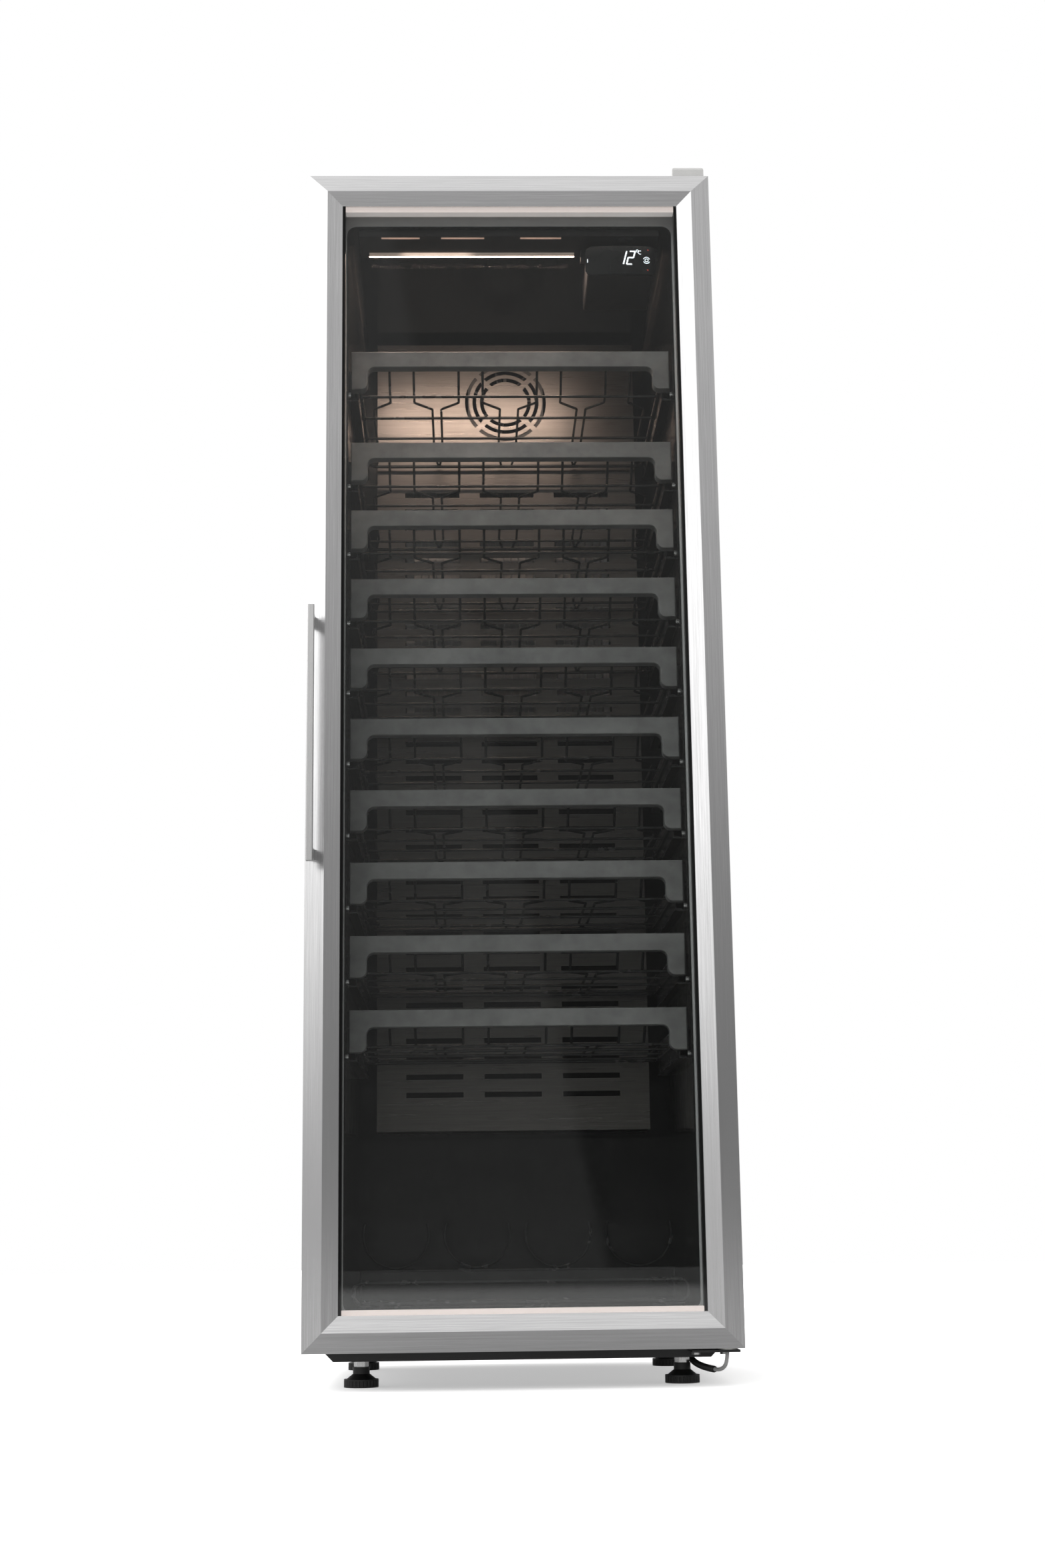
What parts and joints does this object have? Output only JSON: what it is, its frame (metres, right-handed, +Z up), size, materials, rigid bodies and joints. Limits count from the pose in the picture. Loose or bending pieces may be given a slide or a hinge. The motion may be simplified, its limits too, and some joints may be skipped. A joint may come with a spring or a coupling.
{
  "type": "wine cooler",
  "caption": "Tall free-standing wine cooler with a framed double-glass door, bar handle, pull-out wire shelves with moulded fronts, floor bottle rack and levelling feet.",
  "frame": {"origin": "middle of the footprint on the floor, under the middle of the bounding box", "axes": "+Z up, the door faces -Y, the door's hinge side is +X"},
  "size_m": [0.565, 0.624, 1.683],
  "materials": {
    "door_metal": "satin",
    "frame_inner_metal": "matte",
    "clear_glass": "gloss",
    "spacer_bar": "satin",
    "black_plastic": "satin",
    "foot_plastic": "satin",
    "bush_plastic": "satin",
    "seal_rubber": "matte",
    "cabinet_paint": "satin",
    "back_steel": "matte",
    "liner_gloss": "gloss",
    "foam": "matte",
    "black_steel": "satin",
    "wire_black": "gloss",
    "stainless": "satin",
    "runner_steel": "satin",
    "screw_steel": "polished",
    "light_diffuser": "satin",
    "display_black": "gloss",
    "cover_plastic": "satin",
    "lead_grey": "matte",
    "fascia_plastic": "satin"
  },
  "bodies": {
    "cabinet": {"outer_shell": "cabinet_paint", "inner_liner": "liner_gloss", "insulation_foam": "foam", "back_panel": "back_steel", "base_frame": "black_steel", "machine_grille": "back_steel", "compressor": "black_steel", "condenser_coil": "frame_inner_metal", "fan_frames": "black_plastic", "drip_tray": "black_plastic", "duct_panel": "stainless", "evaporator_coil": "frame_inner_metal", "light_bar": "black_plastic", "light_lens": "light_diffuser", "controller_housing": "black_plastic", "controller_window": "display_black", "shelf_runners": "runner_steel", "hinge_plates": "black_steel", "top_hinge_cover": "cover_plastic", "cabinet_screws": "screw_steel", "foot_lock_nuts": "black_steel", "door_lead": "lead_grey", "mains_inlet": "black_plastic", "bottle_rack": "wire_black"},
    "door": {"door_stiles": "door_metal", "door_rails": "door_metal", "door_corner_keys": "frame_inner_metal", "hinge_bushes": "bush_plastic", "glass_panes": "clear_glass", "glass_spacer": "spacer_bar", "glass_retainer": "black_plastic", "door_gasket": "seal_rubber", "door_handle": "door_metal"},
    "shelf_01": {"shelf_fascia_01": "fascia_plastic", "shelf_rack_01": "wire_black"},
    "shelf_02": {"shelf_fascia_02": "fascia_plastic", "shelf_rack_02": "wire_black"},
    "shelf_03": {"shelf_fascia_03": "fascia_plastic", "shelf_rack_03": "wire_black"},
    "shelf_04": {"shelf_fascia_04": "fascia_plastic", "shelf_rack_04": "wire_black"},
    "shelf_05": {"shelf_fascia_05": "fascia_plastic", "shelf_rack_05": "wire_black"},
    "shelf_06": {"shelf_fascia_06": "fascia_plastic", "shelf_rack_06": "wire_black"},
    "shelf_07": {"shelf_fascia_07": "fascia_plastic", "shelf_rack_07": "wire_black"},
    "shelf_08": {"shelf_fascia_08": "fascia_plastic", "shelf_rack_08": "wire_black"},
    "shelf_09": {"shelf_fascia_09": "fascia_plastic", "shelf_rack_09": "wire_black"},
    "shelf_10": {"shelf_fascia_10": "fascia_plastic", "shelf_rack_10": "wire_black"},
    "foot_front_left": {"levelling_foot_front_left": "foot_plastic"},
    "foot_front_right": {"levelling_foot_front_right": "foot_plastic"},
    "foot_rear_left": {"levelling_foot_rear_left": "foot_plastic"},
    "foot_rear_right": {"levelling_foot_rear_right": "foot_plastic"},
    "evaporator_fan": {"evaporator_fan_rotor": "black_plastic"},
    "condenser_fan": {"condenser_fan_rotor": "black_plastic"},
    "light_switch": {"light_switch_rocker": "black_plastic"}
  },
  "joints": [
    {"name": "door_swing", "type": "hinge", "parent": "cabinet", "child": "door", "pos_m": [0.2625, -0.248, 0.856], "axis": [0, 0, 1], "range_deg": [0, 110]},
    {"name": "shelf_slide_01", "type": "slide", "parent": "cabinet", "child": "shelf_01", "axis": [0, -1, 0], "range_m": [0, 0.19]},
    {"name": "shelf_slide_02", "type": "slide", "parent": "cabinet", "child": "shelf_02", "axis": [0, -1, 0], "range_m": [0, 0.19]},
    {"name": "shelf_slide_03", "type": "slide", "parent": "cabinet", "child": "shelf_03", "axis": [0, -1, 0], "range_m": [0, 0.19]},
    {"name": "shelf_slide_04", "type": "slide", "parent": "cabinet", "child": "shelf_04", "axis": [0, -1, 0], "range_m": [0, 0.19]},
    {"name": "shelf_slide_05", "type": "slide", "parent": "cabinet", "child": "shelf_05", "axis": [0, -1, 0], "range_m": [0, 0.19]},
    {"name": "shelf_slide_06", "type": "slide", "parent": "cabinet", "child": "shelf_06", "axis": [0, -1, 0], "range_m": [0, 0.19]},
    {"name": "shelf_slide_07", "type": "slide", "parent": "cabinet", "child": "shelf_07", "axis": [0, -1, 0], "range_m": [0, 0.19]},
    {"name": "shelf_slide_08", "type": "slide", "parent": "cabinet", "child": "shelf_08", "axis": [0, -1, 0], "range_m": [0, 0.19]},
    {"name": "shelf_slide_09", "type": "slide", "parent": "cabinet", "child": "shelf_09", "axis": [0, -1, 0], "range_m": [0, 0.19]},
    {"name": "shelf_slide_10", "type": "slide", "parent": "cabinet", "child": "shelf_10", "axis": [0, -1, 0], "range_m": [0, 0.19]},
    {"name": "foot_height_front_left", "type": "slide", "parent": "cabinet", "child": "foot_front_left", "axis": [0, 0, -1], "range_m": [0, 0.01]},
    {"name": "foot_height_front_right", "type": "slide", "parent": "cabinet", "child": "foot_front_right", "axis": [0, 0, -1], "range_m": [0, 0.01]},
    {"name": "foot_height_rear_left", "type": "slide", "parent": "cabinet", "child": "foot_rear_left", "axis": [0, 0, -1], "range_m": [0, 0.01]},
    {"name": "foot_height_rear_right", "type": "slide", "parent": "cabinet", "child": "foot_rear_right", "axis": [0, 0, -1], "range_m": [0, 0.01]},
    {"name": "evaporator_fan_spin", "type": "hinge", "parent": "cabinet", "child": "evaporator_fan", "pos_m": [0, 0.192, 1.5], "axis": [0, 1, 0], "continuous": true},
    {"name": "condenser_fan_spin", "type": "hinge", "parent": "cabinet", "child": "condenser_fan", "pos_m": [-0.084, 0.248, 0.111], "axis": [1, 0, 0], "continuous": true},
    {"name": "light_switch_rock", "type": "hinge", "parent": "cabinet", "child": "light_switch", "pos_m": [0.168, -0.199, 1.603], "axis": [0, 1, 0], "range_deg": [-6, 6]}
  ],
  "couplings": [
    {"joint": "shelf_slide_01", "follows": "door_swing", "m_per_rad": 0.0974},
    {"joint": "shelf_slide_02", "follows": "door_swing", "m_per_rad": 0.0974},
    {"joint": "shelf_slide_03", "follows": "door_swing", "m_per_rad": 0.0974},
    {"joint": "shelf_slide_04", "follows": "door_swing", "m_per_rad": 0.0974},
    {"joint": "shelf_slide_05", "follows": "door_swing", "m_per_rad": 0.0974},
    {"joint": "shelf_slide_06", "follows": "door_swing", "m_per_rad": 0.0974},
    {"joint": "shelf_slide_07", "follows": "door_swing", "m_per_rad": 0.0974},
    {"joint": "shelf_slide_08", "follows": "door_swing", "m_per_rad": 0.0974},
    {"joint": "shelf_slide_09", "follows": "door_swing", "m_per_rad": 0.0974},
    {"joint": "shelf_slide_10", "follows": "door_swing", "m_per_rad": 0.0974}
  ]
}
